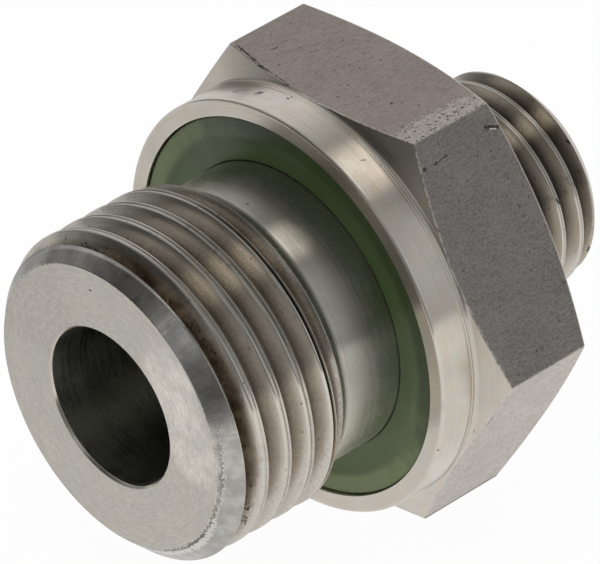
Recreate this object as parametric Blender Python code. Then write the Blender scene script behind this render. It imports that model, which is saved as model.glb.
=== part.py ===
"""Male stud coupling for metal tube.

A steel body turned from hexagon bar: a parallel pipe thread with a run-out neck on the stud side,
a sealing collar with a ring groove, the hexagon, and a metric thread round a 24 degree tube cone.
A rubber profile ring lies in the groove of the collar.

The bore axis runs along Y, the stud end towards -Y. The part lies on a flat of its hexagon at Z = 0,
with the origin under the middle of its length.
"""
import math

import bmesh
import bpy

MM = 0.001

# Facets round the axis, a multiple of twelve so that corners and middles of flats are columns
COLUMNS = 60

# Pipe thread on the stud
STUD_THREAD_DIAMETER = 20.955 * MM
STUD_PITCH = 1.814 * MM
STUD_THREAD_DEPTH = 1.162 * MM
STUD_CREST_WIDTH = 0.45 * MM
STUD_FLANK_ANGLE = math.radians(27.5)
STUD_CREST_STATION = 8.15 * MM

# Lengths along the stud, from its end face to the sealing face of the collar
STUD_LENGTH = 14.0 * MM
STUD_CHAMFER = 1.28 * MM
NECK_LENGTH = 4.05 * MM
NECK_BELOW_ROOT = 0.02 * MM

# Bore on the stud side, drilled from the stud end
STUD_BORE_DIAMETER = 10.2 * MM
STUD_BORE_DEPTH = 20.0 * MM
STUD_BORE_EDGE = 0.15 * MM
DRILL_POINT_ANGLE = math.radians(59.0)

# Collar and the groove for the ring
GROOVE_WIDTH = 3.05 * MM
GROOVE_DEPTH = 1.6 * MM
RIM_WIDTH = 1.1 * MM
RIM_EDGE = 0.12 * MM
COLLAR_LENGTH = 3.6 * MM
COLLAR_BELOW_FLATS = 0.05 * MM

# Hexagon
HEX_EDGE_LENGTH = 5.95 * MM
SHOULDER_SLOPE = math.radians(22.0)
SHOULDER_FILLET = 0.3 * MM
REAR_SLOPE = math.radians(20.0)
REAR_FACE_INSET = 0.1 * MM

# Tube end: socket for the tube, 24 degree cone and the metric thread outside
TUBE_DIAMETER = 8.0 * MM
SOCKET_CLEARANCE = 0.05 * MM
TUBE_STOP_WIDTH = 1.05 * MM
TUBE_STOP_DEPTH = 7.0 * MM
CONE_DEPTH = 4.47 * MM
CONE_HALF_ANGLE = math.radians(12.0)
END_LAND = 1.15 * MM
END_CHAMFER = 0.85 * MM
TUBE_END_LENGTH = 9.5 * MM
TUBE_PITCH = 1.5 * MM
TUBE_THREAD_DEPTH = 0.92 * MM
TUBE_CREST_WIDTH = 0.3 * MM
TUBE_FLANK_ANGLE = math.radians(30.0)
TUBE_CREST_STATION = 30.45 * MM
UNDERCUT_LENGTH = 1.1 * MM
UNDERCUT_BELOW_ROOT = 0.1 * MM

# Profile ring
RING_GAP = 0.3 * MM
RING_RECESS = 0.2 * MM
RING_BAND_WIDTH = 1.0 * MM
RING_LIP_DROP = 0.3 * MM
RING_EDGE = 0.12 * MM

# Points closer than this become one
MERGE_DISTANCE = 0.001 * MM
# A thread edge this close to a ring of the blank moves onto it
SNAP_DISTANCE = 0.04 * MM
RUN_IN_RINGS = 3
FILLET_STEPS = 3
SHARP_ANGLE = math.radians(25.0)

# Radii that follow from the sizes above
stud_crest_radius = STUD_THREAD_DIAMETER / 2
stud_root_radius = stud_crest_radius - STUD_THREAD_DEPTH
neck_radius = stud_root_radius - NECK_BELOW_ROOT
stud_bore_radius = STUD_BORE_DIAMETER / 2
groove_radius = neck_radius + GROOVE_WIDTH
collar_radius = groove_radius + RIM_WIDTH
half_flats = collar_radius + COLLAR_BELOW_FLATS
corner_radius = half_flats / math.cos(math.pi / 6)
socket_radius = TUBE_DIAMETER / 2 + SOCKET_CLEARANCE
tube_bore_radius = socket_radius - TUBE_STOP_WIDTH
mouth_radius = socket_radius + CONE_DEPTH * math.tan(CONE_HALF_ANGLE)
tube_crest_radius = mouth_radius + END_LAND + END_CHAMFER
tube_root_radius = tube_crest_radius - TUBE_THREAD_DEPTH
undercut_radius = tube_root_radius - UNDERCUT_BELOW_ROOT
rear_face_radius = half_flats - REAR_FACE_INSET

# Stations along the axis, counted from the stud's end face
sealing_face = STUD_LENGTH
groove_floor = sealing_face + GROOVE_DEPTH
hex_front_corner = sealing_face + COLLAR_LENGTH
hex_rear_corner = hex_front_corner + HEX_EDGE_LENGTH
hex_rear_face = hex_rear_corner + (corner_radius - rear_face_radius) * math.tan(REAR_SLOPE)
tube_end_face = hex_rear_face + TUBE_END_LENGTH
neck_start = sealing_face - NECK_LENGTH
stud_thread_end = neck_start - (stud_crest_radius - neck_radius)

STUD_THREAD = {
    "crest": stud_crest_radius,
    "root": stud_root_radius,
    "pitch": STUD_PITCH,
    "crest_width": STUD_CREST_WIDTH,
    "flank": STUD_FLANK_ANGLE,
    "station": STUD_CREST_STATION,
    "start": STUD_CHAMFER,
    "end": stud_thread_end,
}

TUBE_THREAD = {
    "crest": tube_crest_radius,
    "root": tube_root_radius,
    "pitch": TUBE_PITCH,
    "crest_width": TUBE_CREST_WIDTH,
    "flank": TUBE_FLANK_ANGLE,
    "station": TUBE_CREST_STATION,
    "start": hex_rear_face + UNDERCUT_LENGTH + (tube_crest_radius - undercut_radius),
    "end": tube_end_face - END_CHAMFER,
}


def clear_scene():
    for item in list(bpy.data.objects):
        bpy.data.objects.remove(item, do_unlink=True)


def make_material(name, color, roughness, metallic):
    material = bpy.data.materials.new(name)
    material.use_nodes = True
    shader = material.node_tree.nodes["Principled BSDF"]
    shader.inputs["Base Color"].default_value = (*color, 1.0)
    shader.inputs["Roughness"].default_value = roughness
    shader.inputs["Metallic"].default_value = metallic
    return material


def thread_radius(thread, station, angle):
    """Radius of a right-hand thread at one station and angle."""
    pitch = thread["pitch"]
    turned = station - thread["station"] + pitch * angle / (2 * math.pi)
    from_crest = abs((turned + pitch / 2) % pitch - pitch / 2)
    down_flank = max(0.0, from_crest - thread["crest_width"] / 2)
    return max(thread["root"], thread["crest"] - down_flank / math.tan(thread["flank"]))


def thread_points(thread, angle):
    """The thread's section at one angle, with points past its ends moved onto the end rings.

    A full turn moves every ridge back by one pitch, so the list starts one ridge before the thread
    and ends two after it.
    """
    pitch = thread["pitch"]
    half_crest = thread["crest_width"] / 2
    flank_run = (thread["crest"] - thread["root"]) * math.tan(thread["flank"])
    half_ridge = min(half_crest + flank_run, pitch / 2)
    first = math.floor((thread["start"] - thread["station"]) / pitch) - 1
    last = math.ceil((thread["end"] - thread["station"]) / pitch) + 2
    points = []
    for turn in range(first, last + 1):
        crest = thread["station"] + turn * pitch - pitch * angle / (2 * math.pi)
        for offset in (-half_ridge, -half_crest, half_crest, half_ridge):
            station = crest + offset
            if station < thread["start"] + SNAP_DISTANCE:
                station = thread["start"]
            if station > thread["end"] - SNAP_DISTANCE:
                station = thread["end"]
            points.append((thread_radius(thread, station, angle), station))
    return points


def cone_rings(thread, angle, start, end):
    """Rings of a turned cone between two (radius, station) ends, cut by the thread's groove."""
    points = []
    for ring in range(1, RUN_IN_RINGS + 1):
        share = ring / (RUN_IN_RINGS + 1)
        radius = start[0] + (end[0] - start[0]) * share
        station = start[1] + (end[1] - start[1]) * share
        points.append((min(radius, thread_radius(thread, station, angle)), station))
    return points


def hexagon_radius(angle):
    """Distance from the axis to the flats of the bar, with corners at whole sixths of a turn."""
    from_middle = (angle % (math.pi / 3)) - math.pi / 6
    return half_flats / math.cos(from_middle)


def shoulder_points(angle):
    """Fillet and cone between the collar and the hexagon, up to the flat at this angle."""
    reach = hexagon_radius(angle)
    tangent_radius = collar_radius + SHOULDER_FILLET * (1 - math.sin(SHOULDER_SLOPE))
    tangent_station = hex_front_corner - (corner_radius - tangent_radius) * math.tan(SHOULDER_SLOPE)
    centre_radius = collar_radius + SHOULDER_FILLET
    centre_station = tangent_station - SHOULDER_FILLET * math.cos(SHOULDER_SLOPE)
    swing = math.pi / 2 - SHOULDER_SLOPE
    if reach < tangent_radius:
        swing = math.acos((centre_radius - reach) / SHOULDER_FILLET)
    points = []
    for step in range(FILLET_STEPS + 1):
        turn = swing * step / FILLET_STEPS
        radius = centre_radius - SHOULDER_FILLET * math.cos(turn)
        points.append((radius, centre_station + SHOULDER_FILLET * math.sin(turn)))
    if reach < tangent_radius:
        points.append(points[-1])
    else:
        points.append((reach, hex_front_corner - (corner_radius - reach) * math.tan(SHOULDER_SLOPE)))
    return points


def body_section(angle):
    """Closed section of the body at one angle: round the outside, then back along the bore."""
    section = [(stud_bore_radius + STUD_BORE_EDGE, 0.0)]

    # End face and its chamfer
    face_radius = stud_crest_radius - STUD_CHAMFER
    section.append((face_radius, 0.0))
    section += cone_rings(STUD_THREAD, angle, (face_radius, 0.0), (stud_crest_radius, STUD_CHAMFER))
    section += thread_points(STUD_THREAD, angle)

    # Run-out cone, neck and the groove for the ring
    run_out = (stud_crest_radius, stud_thread_end)
    section += cone_rings(STUD_THREAD, angle, run_out, (neck_radius, neck_start))
    section.append((neck_radius, neck_start))
    section.append((neck_radius, groove_floor))
    section.append((groove_radius, groove_floor))
    section.append((groove_radius, sealing_face))

    # Rim, collar, shoulder and hexagon
    section.append((collar_radius - RIM_EDGE, sealing_face))
    section.append((collar_radius, sealing_face + RIM_EDGE))
    section += shoulder_points(angle)
    reach = hexagon_radius(angle)
    section.append((reach, hex_rear_corner + (corner_radius - reach) * math.tan(REAR_SLOPE)))
    section.append((rear_face_radius, hex_rear_face))

    # Undercut and the metric thread
    undercut_end = hex_rear_face + UNDERCUT_LENGTH
    section.append((undercut_radius, hex_rear_face))
    section.append((undercut_radius, undercut_end))
    run_in = (tube_crest_radius, TUBE_THREAD["start"])
    section += cone_rings(TUBE_THREAD, angle, (undercut_radius, undercut_end), run_in)
    section += thread_points(TUBE_THREAD, angle)
    end_edge = (mouth_radius + END_LAND, tube_end_face)
    section += cone_rings(TUBE_THREAD, angle, (tube_crest_radius, TUBE_THREAD["end"]), end_edge)
    section.append(end_edge)

    # Cone, tube socket, stop, through bore and the drilled bore of the stud
    section.append((mouth_radius, tube_end_face))
    section.append((socket_radius, tube_end_face - CONE_DEPTH))
    section.append((socket_radius, tube_end_face - TUBE_STOP_DEPTH))
    section.append((tube_bore_radius, tube_end_face - TUBE_STOP_DEPTH))
    drill_point = (stud_bore_radius - tube_bore_radius) / math.tan(DRILL_POINT_ANGLE)
    section.append((tube_bore_radius, STUD_BORE_DEPTH + drill_point))
    section.append((stud_bore_radius, STUD_BORE_DEPTH))
    section.append((stud_bore_radius, STUD_BORE_EDGE))
    return section


def ring_section(angle):
    """Closed section of the profile ring: a flat outer band and an inner band that falls to the neck."""
    inner = neck_radius + RING_GAP
    outer = groove_radius - RING_GAP
    back = groove_floor - RING_GAP
    front = sealing_face + RING_RECESS
    lip = front + RING_LIP_DROP
    return [
        (inner, back),
        (inner, lip),
        (outer - RING_BAND_WIDTH, front),
        (outer - RING_EDGE, front),
        (outer, front + RING_EDGE),
        (outer, back),
    ]


def place(radius, station, angle):
    """Point in the part's frame: the axis lies half the hexagon's width above the ground."""
    return (
        radius * math.cos(angle),
        station - tube_end_face / 2,
        half_flats + radius * math.sin(angle),
    )


def turned_object(name, section, material):
    """Closed body from its sections at every column round the axis."""
    mesh = bmesh.new()
    rings = []
    for column in range(COLUMNS + 1):
        angle = 2 * math.pi * column / COLUMNS
        rings.append([mesh.verts.new(place(radius, station, angle)) for radius, station in section(angle)])
    count = len(rings[0])
    for ring, following in zip(rings, rings[1:]):
        for row in range(count):
            ahead = (row + 1) % count
            mesh.faces.new((ring[row], following[row], following[ahead], ring[ahead]))
    bmesh.ops.remove_doubles(mesh, verts=mesh.verts, dist=MERGE_DISTANCE)
    bmesh.ops.recalc_face_normals(mesh, faces=mesh.faces)

    data = bpy.data.meshes.new(name)
    mesh.to_mesh(data)
    mesh.free()
    data.shade_smooth()
    data.set_sharp_from_angle(angle=SHARP_ANGLE)
    data.materials.append(material)
    item = bpy.data.objects.new(name, data)
    bpy.context.scene.collection.objects.link(item)
    return item


def main():
    clear_scene()
    steel = make_material("turned_steel", (0.56, 0.53, 0.49), 0.32, 1.0)
    rubber = make_material("seal_rubber", (0.075, 0.115, 0.05), 0.5, 0.0)
    turned_object("coupling_body", body_section, steel)
    turned_object("sealing_ring", ring_section, rubber)


main()
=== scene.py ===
import math

import bmesh
import bpy
import numpy as np
from mathutils import Matrix, Vector


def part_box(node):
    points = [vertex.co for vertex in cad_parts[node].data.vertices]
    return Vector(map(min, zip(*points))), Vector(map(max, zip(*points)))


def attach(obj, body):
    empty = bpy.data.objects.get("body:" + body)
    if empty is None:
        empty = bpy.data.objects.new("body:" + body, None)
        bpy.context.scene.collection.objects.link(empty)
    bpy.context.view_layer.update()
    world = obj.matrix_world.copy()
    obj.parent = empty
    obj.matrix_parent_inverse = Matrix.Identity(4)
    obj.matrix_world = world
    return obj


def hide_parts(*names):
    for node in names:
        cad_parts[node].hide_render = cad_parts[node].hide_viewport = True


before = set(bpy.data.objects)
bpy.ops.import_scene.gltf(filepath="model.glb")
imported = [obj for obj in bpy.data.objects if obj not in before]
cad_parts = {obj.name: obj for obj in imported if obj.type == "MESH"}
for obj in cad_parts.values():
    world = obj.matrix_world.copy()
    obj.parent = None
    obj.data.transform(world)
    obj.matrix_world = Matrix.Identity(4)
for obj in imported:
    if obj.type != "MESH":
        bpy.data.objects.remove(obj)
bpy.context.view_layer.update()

mm = 0.001
bodyLow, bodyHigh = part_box("coupling_body")
halfLength = (bodyHigh.y - bodyLow.y) / 2 / mm
halfFlats = (bodyHigh.z - bodyLow.z) / 2 / mm  # the part lies on a flat, so the axis is this high
cornerRadius = (bodyHigh.x - bodyLow.x) / 2 / mm
print("frame:", sorted(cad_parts))
print("length %.2f mm, across flats %.2f mm" % (2 * halfLength, 2 * halfFlats))


# Node helpers

def put(tree, kind, values=None, **settings):
    # Adds a node. A value that is a socket is linked, anything else is set on the node's own socket.
    node = tree.nodes.new(kind)
    for key, value in settings.items():
        setattr(node, key, value)
    for key, value in (values or {}).items():
        if isinstance(value, bpy.types.NodeSocket):
            tree.links.new(value, node.inputs[key])
        else:
            node.inputs[key].default_value = value
    return node


def sums(tree, operation, *values):
    return put(tree, "ShaderNodeMath", dict(enumerate(values)), operation=operation).outputs[0]


def joined(tree, operation, values):
    # Joins any number of values by one operation, from left to right
    total, *others = values
    for value in others:
        total = sums(tree, operation, total, value)
    return total


def times(tree, *values):
    return joined(tree, "MULTIPLY", values)


def vectors(tree, operation, first, second, result="Vector"):
    return put(tree, "ShaderNodeVectorMath", {0: first, 1: second}, operation=operation).outputs[result]


def allThree(tree, value):
    # A size or a grey whose three parts are one value
    return put(tree, "ShaderNodeCombineXYZ", {0: value, 1: value, 2: value}).outputs[0]


def ramp(tree, value, low, high, toLow=0.0, toHigh=1.0):
    # Smooth step from toLow at low to toHigh at high
    values = {"Value": value, "From Min": low, "From Max": high, "To Min": toLow, "To Max": toHigh}
    return put(tree, "ShaderNodeMapRange", values, interpolation_type="SMOOTHSTEP").outputs["Result"]


def sweep(tree, angle, start, end, toLow=0.0, toHigh=1.0):
    # Smooth step over an angle, from start to end in degrees
    return ramp(tree, angle, math.radians(start), math.radians(end), toLow, toHigh)


def mixed(tree, factor, first, second, mode="MIX"):
    # Sockets 6 and 7 and output 2 are the Mix node's colours
    colours = put(tree, "ShaderNodeMix", {0: factor, 6: first, 7: second}, data_type="RGBA", blend_type=mode)
    return colours.outputs[2]


def onPart(tree):
    # Object coordinates in millimetres, centred on the bore's axis, with the station from the stud's end as Y
    coordinates = put(tree, "ShaderNodeTexCoord").outputs["Object"]
    values = {"Vector": coordinates, "Location": (0, halfLength, -halfFlats), "Scale": [1 / mm] * 3}
    return put(tree, "ShaderNodeMapping", values).outputs[0]


def roundAxis(tree):
    # Radius, station, cosine, sine and angle round the bore's axis
    x, station, z = put(tree, "ShaderNodeSeparateXYZ", {0: onPart(tree)}).outputs
    radius = sums(tree, "SQRT", sums(tree, "ADD", times(tree, x, x), times(tree, z, z)))
    cosine, sine = sums(tree, "DIVIDE", x, radius), sums(tree, "DIVIDE", z, radius)
    return radius, station, cosine, sine, sums(tree, "ARCTAN2", z, x)


# Effects shared by the materials

def newGroup(name, result, **inputs):
    # An empty node group whose inputs have these names and values, with one output
    group = bpy.data.node_groups.new(name, "ShaderNodeTree")
    for label, value in inputs.items():
        kind = "NodeSocketVector" if isinstance(value, tuple) else "NodeSocketFloat"
        group.interface.new_socket(label, in_out="INPUT", socket_type=kind).default_value = value
    group.interface.new_socket(result, in_out="OUTPUT", socket_type="NodeSocketFloat")
    return group, put(group, "NodeGroupInput").outputs, put(group, "NodeGroupOutput").inputs[0]


def contrast(group, noise, softness):
    # Steps the noise from 0 to 1, over the softness on both sides of its middle
    return ramp(group, noise, sums(group, "SUBTRACT", 0.5, softness), sums(group, "ADD", 0.5, softness))


def noiseOver(group, size, detail):
    # Noise over the part, whose cells are the size in millimetres
    place = vectors(group, "DIVIDE", onPart(group), size)
    return put(group, "ShaderNodeTexNoise", {"Vector": place, "Scale": 1.0, "Detail": detail}).outputs[0]


def turningMarks():
    # Noise over radius, station and the point on the unit circle: fine across the marks, slow along them
    group, given, output = newGroup("turningMarks", "marks", across=8.0, around=3.0, softness=0.2)
    radius, station, cosine, sine, _ = roundAxis(group)
    place = put(group, "ShaderNodeCombineXYZ", {
        0: times(group, radius, given["across"]),
        1: times(group, station, given["across"]),
        2: times(group, cosine, given["around"]),
    }).outputs[0]
    noise = put(group, "ShaderNodeTexNoise", {
        "Vector": place, "W": times(group, sine, given["around"]),
        "Scale": 1.0, "Detail": 3.0, "Roughness": 0.65,
    }, noise_dimensions="4D").outputs[0]
    group.links.new(contrast(group, noise, given["softness"]), output)
    return group


def grain():
    # Noise of a given size in millimetres, drawn out along the bore by the stretch
    group, given, output = newGroup("grain", "grain", size=1.0, stretch=1.0, detail=3.0, softness=0.2)
    along = times(group, given["size"], given["stretch"])
    size = put(group, "ShaderNodeCombineXYZ", {0: given["size"], 1: along, 2: given["size"]}).outputs[0]
    group.links.new(contrast(group, noiseOver(group, size, given["detail"]), given["softness"]), output)
    return group


def pits():
    # Round spots at random points: a cell's spot shows if its random number is under the share, and another
    # random number makes its radius 0.4 to 1.4 times the given one
    group, given, output = newGroup("pits", "pits", spacing=0.6, radius=0.1, share=0.3)
    place = vectors(group, "DIVIDE", onPart(group), allThree(group, given["spacing"]))
    cells = put(group, "ShaderNodeTexVoronoi", {"Vector": place, "Scale": 1.0})
    chance, spread, _ = put(group, "ShaderNodeSeparateColor", {0: cells.outputs["Color"]}).outputs
    radius = sums(group, "DIVIDE", given["radius"], given["spacing"])
    reach = times(group, radius, sums(group, "ADD", 0.4, spread))
    spot = ramp(group, cells.outputs["Distance"], reach, times(group, reach, 0.4))
    group.links.new(times(group, spot, sums(group, "LESS_THAN", chance, given["share"])), output)
    return group


def edgeWear():
    # The mesh's wear along rounded edges and crests, broken up by noise
    group, given, output = newGroup("edgeWear", "wear", amount=1.0, patch=0.4, nicks=0.3)
    wear = put(group, "ShaderNodeAttribute", attribute_name="wear").outputs["Fac"]
    noise = noiseOver(group, allThree(group, given["patch"]), 2.0)
    broken = ramp(group, noise, given["nicks"], sums(group, "ADD", given["nicks"], 0.2))
    group.links.new(times(group, wear, broken, given["amount"]), output)
    return group


def dent():
    # 1 within the width of a straight line from start to end, with a ragged rim
    group, given, output = newGroup("dent", "dent", start=(0, 0, 0), end=(0, 0, 0), width=0.1, ragged=0.5)
    place = onPart(group)
    line = vectors(group, "SUBTRACT", given["end"], given["start"])
    away = vectors(group, "SUBTRACT", place, given["start"])
    reach = vectors(group, "DOT_PRODUCT", away, line, "Value")
    whole = sums(group, "MAXIMUM", vectors(group, "DOT_PRODUCT", line, line, "Value"), 0.000001)
    share = put(group, "ShaderNodeMath", {0: reach, 1: whole}, operation="DIVIDE", use_clamp=True).outputs[0]
    nearest = put(group, "ShaderNodeVectorMath", {0: line, "Scale": share}, operation="SCALE").outputs[0]
    distance = vectors(group, "DISTANCE", away, nearest, "Value")
    noise = put(group, "ShaderNodeTexNoise", {"Vector": place, "Scale": 7.0, "Detail": 2.0}).outputs[0]
    shaken = times(group, sums(group, "SUBTRACT", noise, 0.5), given["ragged"], given["width"], 4.0)
    rim = times(group, given["width"], 0.55)
    group.links.new(ramp(group, sums(group, "ADD", distance, shaken), given["width"], rim), output)
    return group


effects = {build.__name__: build() for build in (turningMarks, grain, pits, edgeWear, dent)}
print("effects:", ", ".join(effects))


def effect(tree, name, **values):
    return put(tree, "ShaderNodeGroup", values, node_tree=effects[name]).outputs[0]


# Materials

steel = dict(
    plain=(0.56, 0.52, 0.458, 1), bright=(0.7, 0.665, 0.61, 1), dull=(0.4, 0.37, 0.33, 1),
    dark=(0.2, 0.18, 0.16, 1), cool=(0.5, 0.495, 0.465, 1), warm=(0.55, 0.47, 0.38, 1),
    brown=(0.36, 0.308, 0.25, 1), rust=(0.13, 0.095, 0.06, 1), ochre=(0.62, 0.47, 0.28, 1),
    darkMarkTone=(0.07, 0.06, 0.05, 1),
)
evenMetal = {"Metallic": 1.0}
turnedMetal = {"Metallic": 1.0, "Anisotropic": 0.88, "Anisotropic Rotation": 0.25}  # marks run round the bore


def newMaterial(name):
    material = bpy.data.materials.new(name)
    material.use_nodes = True
    return material, material.node_tree, material.node_tree.nodes["Principled BSDF"]


def dents(tree, places):
    # The strongest of a list of dents, each (start, end, width, raggedness)
    single = [effect(tree, "dent", start=start, end=end, width=width, ragged=ragged)
              for start, end, width, ragged in places]
    return joined(tree, "MAXIMUM", single) if single else 0.0


def onRound(radius, station, degrees):
    # A point on a turned surface, as x, station and height over the bore's axis
    return radius * math.cos(math.radians(degrees)), station, radius * math.sin(math.radians(degrees))


def dash(radius, stations, degrees, width, ragged=0.5):
    return onRound(radius, stations[0], degrees[0]), onRound(radius, stations[1], degrees[1]), width, ragged


def begin(name, look):
    # A new material with the masks of its look: effects with their values, and lists of dents
    material, tree, _ = newMaterial(name)
    masks = {key: effect(tree, kind, **values) for key, (kind, values) in look["masks"].items()}
    for key, places in look.get("marks", {}).items():
        masks[key] = dents(tree, places)
    return material, tree, masks


def finish(material, look, masks):
    # Completes a material. A term multiplies its parts, which are numbers or the names of masks or of values
    # of the look. A layer (tone, parts) goes over those before it: the tone lies where the parts say, a tint
    # multiplies instead, and "times" multiplies by the parts alone. The dark marks, such as pits, nicks and
    # seams, and on the flats also a painted shade, are the strongest of their terms, roughness and relief
    # are sums, and the relief's depth is in millimetres.
    tree = material.node_tree
    shader = tree.nodes["Principled BSDF"]

    def terms(operation, rows):
        products = [times(tree, *(masks.get(part, look.get(part, part)) for part in row)) for row in rows]
        return joined(tree, operation, products)

    if "darkMarkTerms" in look:
        masks["hole"] = terms("MAXIMUM", look["darkMarkTerms"])
    tones = {**steel, **look}
    colour = tones[look["base"]]
    for tone, *parts in look["layers"]:
        share = terms("ADD", [parts])
        if tone == "times":
            colour = mixed(tree, 1.0, colour, allThree(tree, share), "MULTIPLY")
        else:
            mode = "MULTIPLY" if tone.endswith("Tint") else "MIX"
            colour = mixed(tree, share, colour, tones[tone], mode)
    height = {"Height": terms("ADD", look["relief"]), "Distance": look["depth"] * mm, "Strength": 1.0}
    normal = put(tree, "ShaderNodeBump", height).outputs[0]
    roughness = terms("ADD", look["roughness"])
    for key, value in (("Base Color", colour), ("Roughness", roughness), ("Normal", normal)):
        tree.links.new(value, shader.inputs[key])
    for key, value in look["sockets"].items():
        shader.inputs[key].default_value = value
    if "Anisotropic" in look["sockets"]:
        around = put(tree, "ShaderNodeTangent", direction_type="RADIAL", axis="Y").outputs[0]
        tree.links.new(around, shader.inputs["Tangent"])
    print("material:", material.name)
    return material


collarLook = dict(
    wholeTint=(1.06, 1.06, 1.06, 1), below=1.07, rough=0.17, clouded=0.34, stained=0.45, streaked=0.14,
    depth=0.0006, across=9.0, around=2.5,
    nicks=[
        dash(13.45, (15.15, 15.5), (110.9, 109.9), 0.1, 1.2),
        dash(13.45, (15.4, 15.62), (103.4, 102.8), 0.12, 1.6),
        dash(13.45, (15.98, 16.08), (94.6, 94.2), 0.1, 1.4),
        dash(13.45, (15.6, 15.8), (66, 65.6), 0.045),
        dash(13.6, (16.85, 16.9), (-16.5, -18), 0.07, 0.7),
        dash(13.42, (14.06, 14.1), (-17, -17.4), 0.06, 0.8),
    ],
)
neckLook = dict(
    wholeTint=(1.0, 1.03, 1.04, 1), below=1.5, rough=0.2, clouded=0.4, stained=0.1, streaked=0.26,
    depth=0.0008, across=7.0, around=1.0, nicks=[dash(9.3, (10.85, 10.92), (86, 86), 0.08)],
)
boreLook = dict(
    wholeTint=(0.88, 0.95, 0.94, 1), below=1.0, rough=0.22, clouded=0.2, stained=0.1, streaked=0.6,
    depth=0.0025, across=5.0, around=0.6, nicks=[],
)


paintedLightSines = (0.15, -0.45)  # heights over the axis, as sines, between which the painted light on the lower side sets in


def turnedSteel(name, look):
    # Fine and broad turning marks with clouds and stains; painted light makes the lower side as light as
    # "below" says
    recipe = dict(
        look, base="plain", sockets=turnedMetal, marks=dict(nick=look["nicks"]),
        masks=dict(
            fine=("turningMarks", dict(across=look["across"], around=look["around"])),
            broad=("turningMarks", dict(across=1.6, around=1.2, softness=0.15)),
            cloud=("grain", dict(size=2.2, softness=0.2)),
            stain=("grain", dict(size=0.9, detail=4.0, softness=0.1)),
            speck=("pits", dict(spacing=1.1, radius=0.06, share=0.2)),
            wear=("edgeWear", dict(amount=0.5, patch=0.8, nicks=0.28)),
        ),
        layers=[
            ("dull", "cloud", "clouded"), ("cool", "broad", 0.35), ("warm", "stain", "stained"),
            ("dull", "fine", "streaked"), ("wholeTint", 1.0), ("times", "shade"), ("bright", "wear"),
            ("darkMarkTone", "hole"),
        ],
        darkMarkTerms=[("speck", 0.7), ("nick", 0.95)], roughness=[("rough",), ("fine", 0.06), ("cloud", 0.05)],
        relief=[("fine",), ("broad",), ("hole", -6.0)],
    )
    material, tree, masks = begin(name, recipe)
    # Painted light: the lower side is lighter
    masks["shade"] = ramp(tree, roundAxis(tree)[3], *paintedLightSines, 1.0, look["below"])
    return finish(material, recipe, masks)


burrLook = dict(  # ragged edge between the end face and its chamfer, from angle low to high
    radius=9.27, drift=0.22, driftOver=60, line=0.04, upperLine=0.45, wander=0.24, lip=0.5, upperLip=0.3,
    low=-88, fadeIn=20, high=26, fadeOut=25, lower=(-10, -50), station=0.8,
)


def burr(tree):
    # A dark line round the end face's edge, then a bright ragged lip outside it. Both wander with the noise,
    # and the lip has dark flecks that thicken downward.
    look = burrLook
    radius, station, _, _, angle = roundAxis(tree)
    noise = effect(tree, "grain", size=0.22, detail=2.0, softness=0.35)
    flecks = effect(tree, "pits", spacing=0.2, radius=0.075, share=0.6)
    shaken = sums(tree, "ADD", radius, times(tree, sums(tree, "SUBTRACT", noise, 0.5), look["wander"]))
    driftStart, edge = look["high"] - look["driftOver"], look["radius"]
    middle = sweep(tree, angle, driftStart, look["high"], edge, edge + look["drift"])
    away = sums(tree, "SUBTRACT", shaken, middle)
    downward = sweep(tree, angle, *look["lower"])
    window = times(tree, sweep(tree, angle, look["low"], look["low"] + look["fadeIn"]),
                   sweep(tree, angle, look["high"], look["high"] - look["fadeOut"]),
                   sums(tree, "LESS_THAN", station, look["station"]))
    line = times(tree, ramp(tree, sums(tree, "ABSOLUTE", away), look["line"] * 2.2, look["line"]),
                 ramp(tree, downward, 0.0, 1.0, look["upperLine"], 1.0))
    width = ramp(tree, downward, 0.0, 1.0, look["lip"] * look["upperLip"], look["lip"])
    lip = times(tree, ramp(tree, away, look["line"], look["line"] * 2.5),
                ramp(tree, sums(tree, "DIVIDE", away, width), 1.0, 0.75))
    flecks = times(tree, flecks, lip, downward)
    return dict(
        darker=times(tree, sums(tree, "MAXIMUM", line, flecks), window),
        brighter=times(tree, sums(tree, "SUBTRACT", lip, flecks), window),
    )


chamferLook = dict(
    masks=dict(
        streak=("turningMarks", dict(across=0.6, around=34.0, softness=0.2)),
        fine=("turningMarks", dict(across=7.0, around=2.0)),
        cloud=("grain", dict(size=1.3, detail=4.0, softness=0.12)),
        wear=("edgeWear", dict(amount=0.8, patch=0.16, nicks=0.42)),
    ),
    burnished=(0.52, 0.505, 0.475, 1), clouded=(0.3, 0.29, 0.275, 1), base="burnished", sockets=evenMetal,
    layers=[
        ("dull", "streak", 0.35), ("clouded", "cloud", 0.6), ("times", "shade"), ("bright", "wear"),
        ("bright", "brighter", 0.8), ("darkMarkTone", "darker", 0.85),
    ],
    roughness=[(0.2,), ("streak", 0.1)], depth=0.002,
    relief=[("streak",), ("fine", 0.4), ("brighter", 6.0), ("darker", -6.0)],
    lean=0.35, shade=(0.0, -0.45, 1.0, 0.6),  # painted shade: the left stretch is darker, the more so the lower it lies
)


def chamferSteel():
    material, tree, masks = begin("chamferSteel", chamferLook)
    cosine, sine = roundAxis(tree)[2:4]
    # Painted shade on the left and lower stretch
    leftward = sums(tree, "ADD", cosine, times(tree, sine, chamferLook["lean"]))
    masks["shade"] = ramp(tree, leftward, *chamferLook["shade"])
    masks.update(burr(tree))
    return finish(material, chamferLook, masks)


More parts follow.
